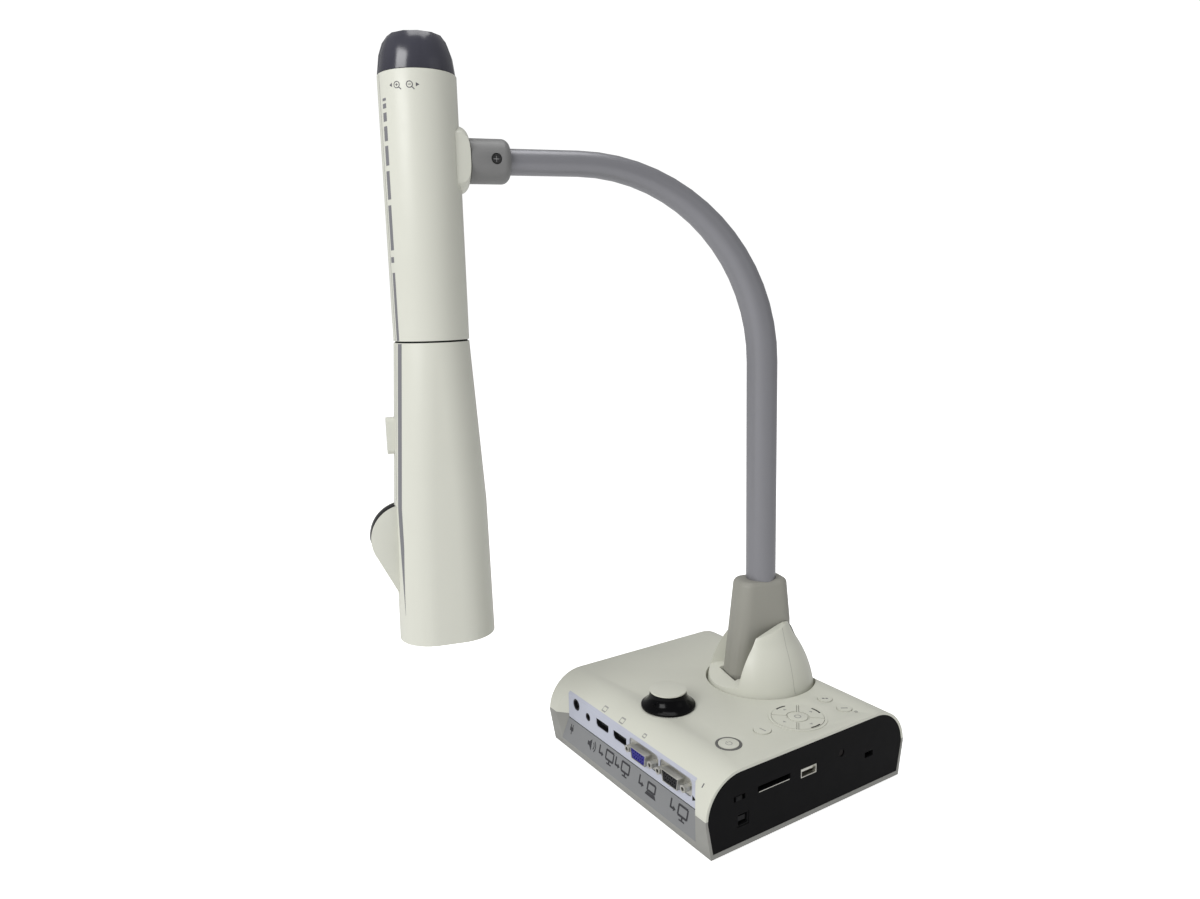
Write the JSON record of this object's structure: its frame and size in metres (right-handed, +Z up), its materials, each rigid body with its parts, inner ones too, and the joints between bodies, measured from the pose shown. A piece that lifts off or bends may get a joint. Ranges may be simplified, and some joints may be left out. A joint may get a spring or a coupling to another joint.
{
  "type": "document camera",
  "caption": "Desktop document camera: flat base with sockets and keys, curved swivelling arm, and a vertical camera head with a lamp.",
  "frame": {"origin": "centre of the base footprint on the table plane", "axes": "+Z up; -Y towards the operator and the black front panel; -X towards the video sockets"},
  "size_m": [0.3062, 0.1801, 0.4735],
  "materials": {
    "cream_plastic": "satin gloss",
    "tray_grey": "fine texture",
    "neck_grey": "satin",
    "panel_black": "gloss",
    "plate_white": "satin",
    "bezel_grey": "satin",
    "trim_grey": "satin",
    "pad_grey": "satin",
    "black_plastic": "matte",
    "blue_plastic": "matte",
    "socket_steel": "plated",
    "steel": "machined",
    "tube_aluminium": "satin anodised",
    "board_green": "satin",
    "rubber": "matte",
    "nylon": "matte",
    "zoom_smoke": "gloss, tinted",
    "led_green": "clear",
    "lens_black": "gloss",
    "sensor_red": "gloss"
  },
  "bodies": {
    "base": {"foot_frame": "rubber", "base_tray": "tray_grey", "base_screws": "steel", "weight_plate": "steel", "main_board": "board_green", "board_screws": "steel", "top_cover": "cream_plastic", "front_panel": "panel_black", "connector_plate": "plate_white", "connector_bezel": "bezel_grey", "dc_jack": "black_plastic", "audio_jack": "black_plastic", "hdmi_sockets": "socket_steel", "vga_shells": "socket_steel", "vga_input_insert": "blue_plastic", "vga_output_insert": "black_plastic", "vga_jackscrews": "socket_steel", "card_socket": "socket_steel", "usb_a_socket": "socket_steel", "usb_b_socket": "socket_steel", "ir_sensor": "sensor_red", "key_board": "board_green", "power_ring": "trim_grey", "pad_bezel": "pad_grey", "status_led": "led_green", "dial_encoder": "black_plastic", "thrust_washer": "nylon"},
    "mode_slider": {"mode_switch": "black_plastic"},
    "power_key": {"power_button": "cream_plastic"},
    "right_key": {"pad_right_key": "cream_plastic"},
    "back_key": {"pad_back_key": "cream_plastic"},
    "left_key": {"pad_left_key": "cream_plastic"},
    "front_key": {"pad_front_key": "cream_plastic"},
    "enter_key": {"enter_button": "cream_plastic"},
    "menu_key": {"menu_button": "cream_plastic"},
    "image_key": {"image_button": "cream_plastic"},
    "record_key": {"record_button": "cream_plastic"},
    "dial_knob": {"dial": "panel_black", "dial_cap": "cream_plastic"},
    "hub": {"hub_spindle": "steel", "hub_nut": "steel", "hub_dome": "cream_plastic", "hub_screws": "steel", "tilt_pin": "steel"},
    "arm": {"tilt_washers": "nylon", "neck": "neck_grey", "mast_tube": "tube_aluminium", "arm_cable": "rubber", "end_barrel": "neck_grey", "barrel_screw": "steel", "swivel_shaft": "steel"},
    "upper_head": {"head_flange": "cream_plastic", "upper_housing": "cream_plastic"},
    "zoom_ring": {"zoom_cap": "zoom_smoke"},
    "lower_head": {"head_spindle": "steel", "lower_housing": "cream_plastic", "camera_module": "lens_black", "lamp_pod": "cream_plastic", "lamp_window": "lens_black"},
    "side_key": {"head_button": "cream_plastic"}
  },
  "joints": [
    {"name": "mode_slide", "type": "slide", "parent": "base", "child": "mode_slider", "axis": [1, 0, 0], "range_m": [0, 0.0025]},
    {"name": "power_press", "type": "slide", "parent": "base", "child": "power_key", "axis": [0, 0, -1], "range_m": [0, 0.0008], "stiffness_N_per_m": 500},
    {"name": "right_press", "type": "slide", "parent": "base", "child": "right_key", "axis": [0, 0, -1], "range_m": [0, 0.0008], "stiffness_N_per_m": 500},
    {"name": "back_press", "type": "slide", "parent": "base", "child": "back_key", "axis": [0, 0, -1], "range_m": [0, 0.0008], "stiffness_N_per_m": 500},
    {"name": "left_press", "type": "slide", "parent": "base", "child": "left_key", "axis": [0, 0, -1], "range_m": [0, 0.0008], "stiffness_N_per_m": 500},
    {"name": "front_press", "type": "slide", "parent": "base", "child": "front_key", "axis": [0, 0, -1], "range_m": [0, 0.0008], "stiffness_N_per_m": 500},
    {"name": "enter_press", "type": "slide", "parent": "base", "child": "enter_key", "axis": [0, 0, -1], "range_m": [0, 0.0008], "stiffness_N_per_m": 500},
    {"name": "menu_press", "type": "slide", "parent": "base", "child": "menu_key", "axis": [0, 0, -1], "range_m": [0, 0.0008], "stiffness_N_per_m": 500},
    {"name": "image_press", "type": "slide", "parent": "base", "child": "image_key", "axis": [0, 0, -1], "range_m": [0, 0.0008], "stiffness_N_per_m": 500},
    {"name": "record_press", "type": "slide", "parent": "base", "child": "record_key", "axis": [0, 0, -1], "range_m": [0, 0.0008], "stiffness_N_per_m": 500},
    {"name": "dial_turn", "type": "hinge", "parent": "base", "child": "dial_knob", "pos_m": [-0.0443, -0.0005, 0.055], "axis": [0, 0, 1], "continuous": true},
    {"name": "hub_swivel", "type": "hinge", "parent": "base", "child": "hub", "pos_m": [0.0383, -0.0016, 0.041], "axis": [0, 0, 1], "range_deg": [-75, 105]},
    {"name": "arm_tilt", "type": "hinge", "parent": "hub", "child": "arm", "pos_m": [0.0383, -0.0016, 0.068], "axis": [-0.2588, -0.9659, 0], "range_deg": [0, 20]},
    {"name": "head_roll", "type": "hinge", "parent": "arm", "child": "upper_head", "pos_m": [-0.15199, 0.04939, 0.4065], "axis": [-0.9659, 0.2588, 0], "range_deg": [-90, 90]},
    {"name": "zoom_turn", "type": "hinge", "parent": "upper_head", "child": "zoom_ring", "pos_m": [-0.17642, 0.05593, 0.452], "axis": [0, 0, 1], "range_deg": [-25, 25], "stiffness_Nm_per_rad": 0.1},
    {"name": "lower_turn", "type": "hinge", "parent": "upper_head", "child": "lower_head", "pos_m": [-0.17642, 0.05593, 0.302], "axis": [0, 0, 1], "range_deg": [-90, 90]},
    {"name": "side_press", "type": "slide", "parent": "lower_head", "child": "side_key", "axis": [0.9659, -0.2588, 0], "range_m": [0, 0.001], "stiffness_N_per_m": 400}
  ]
}
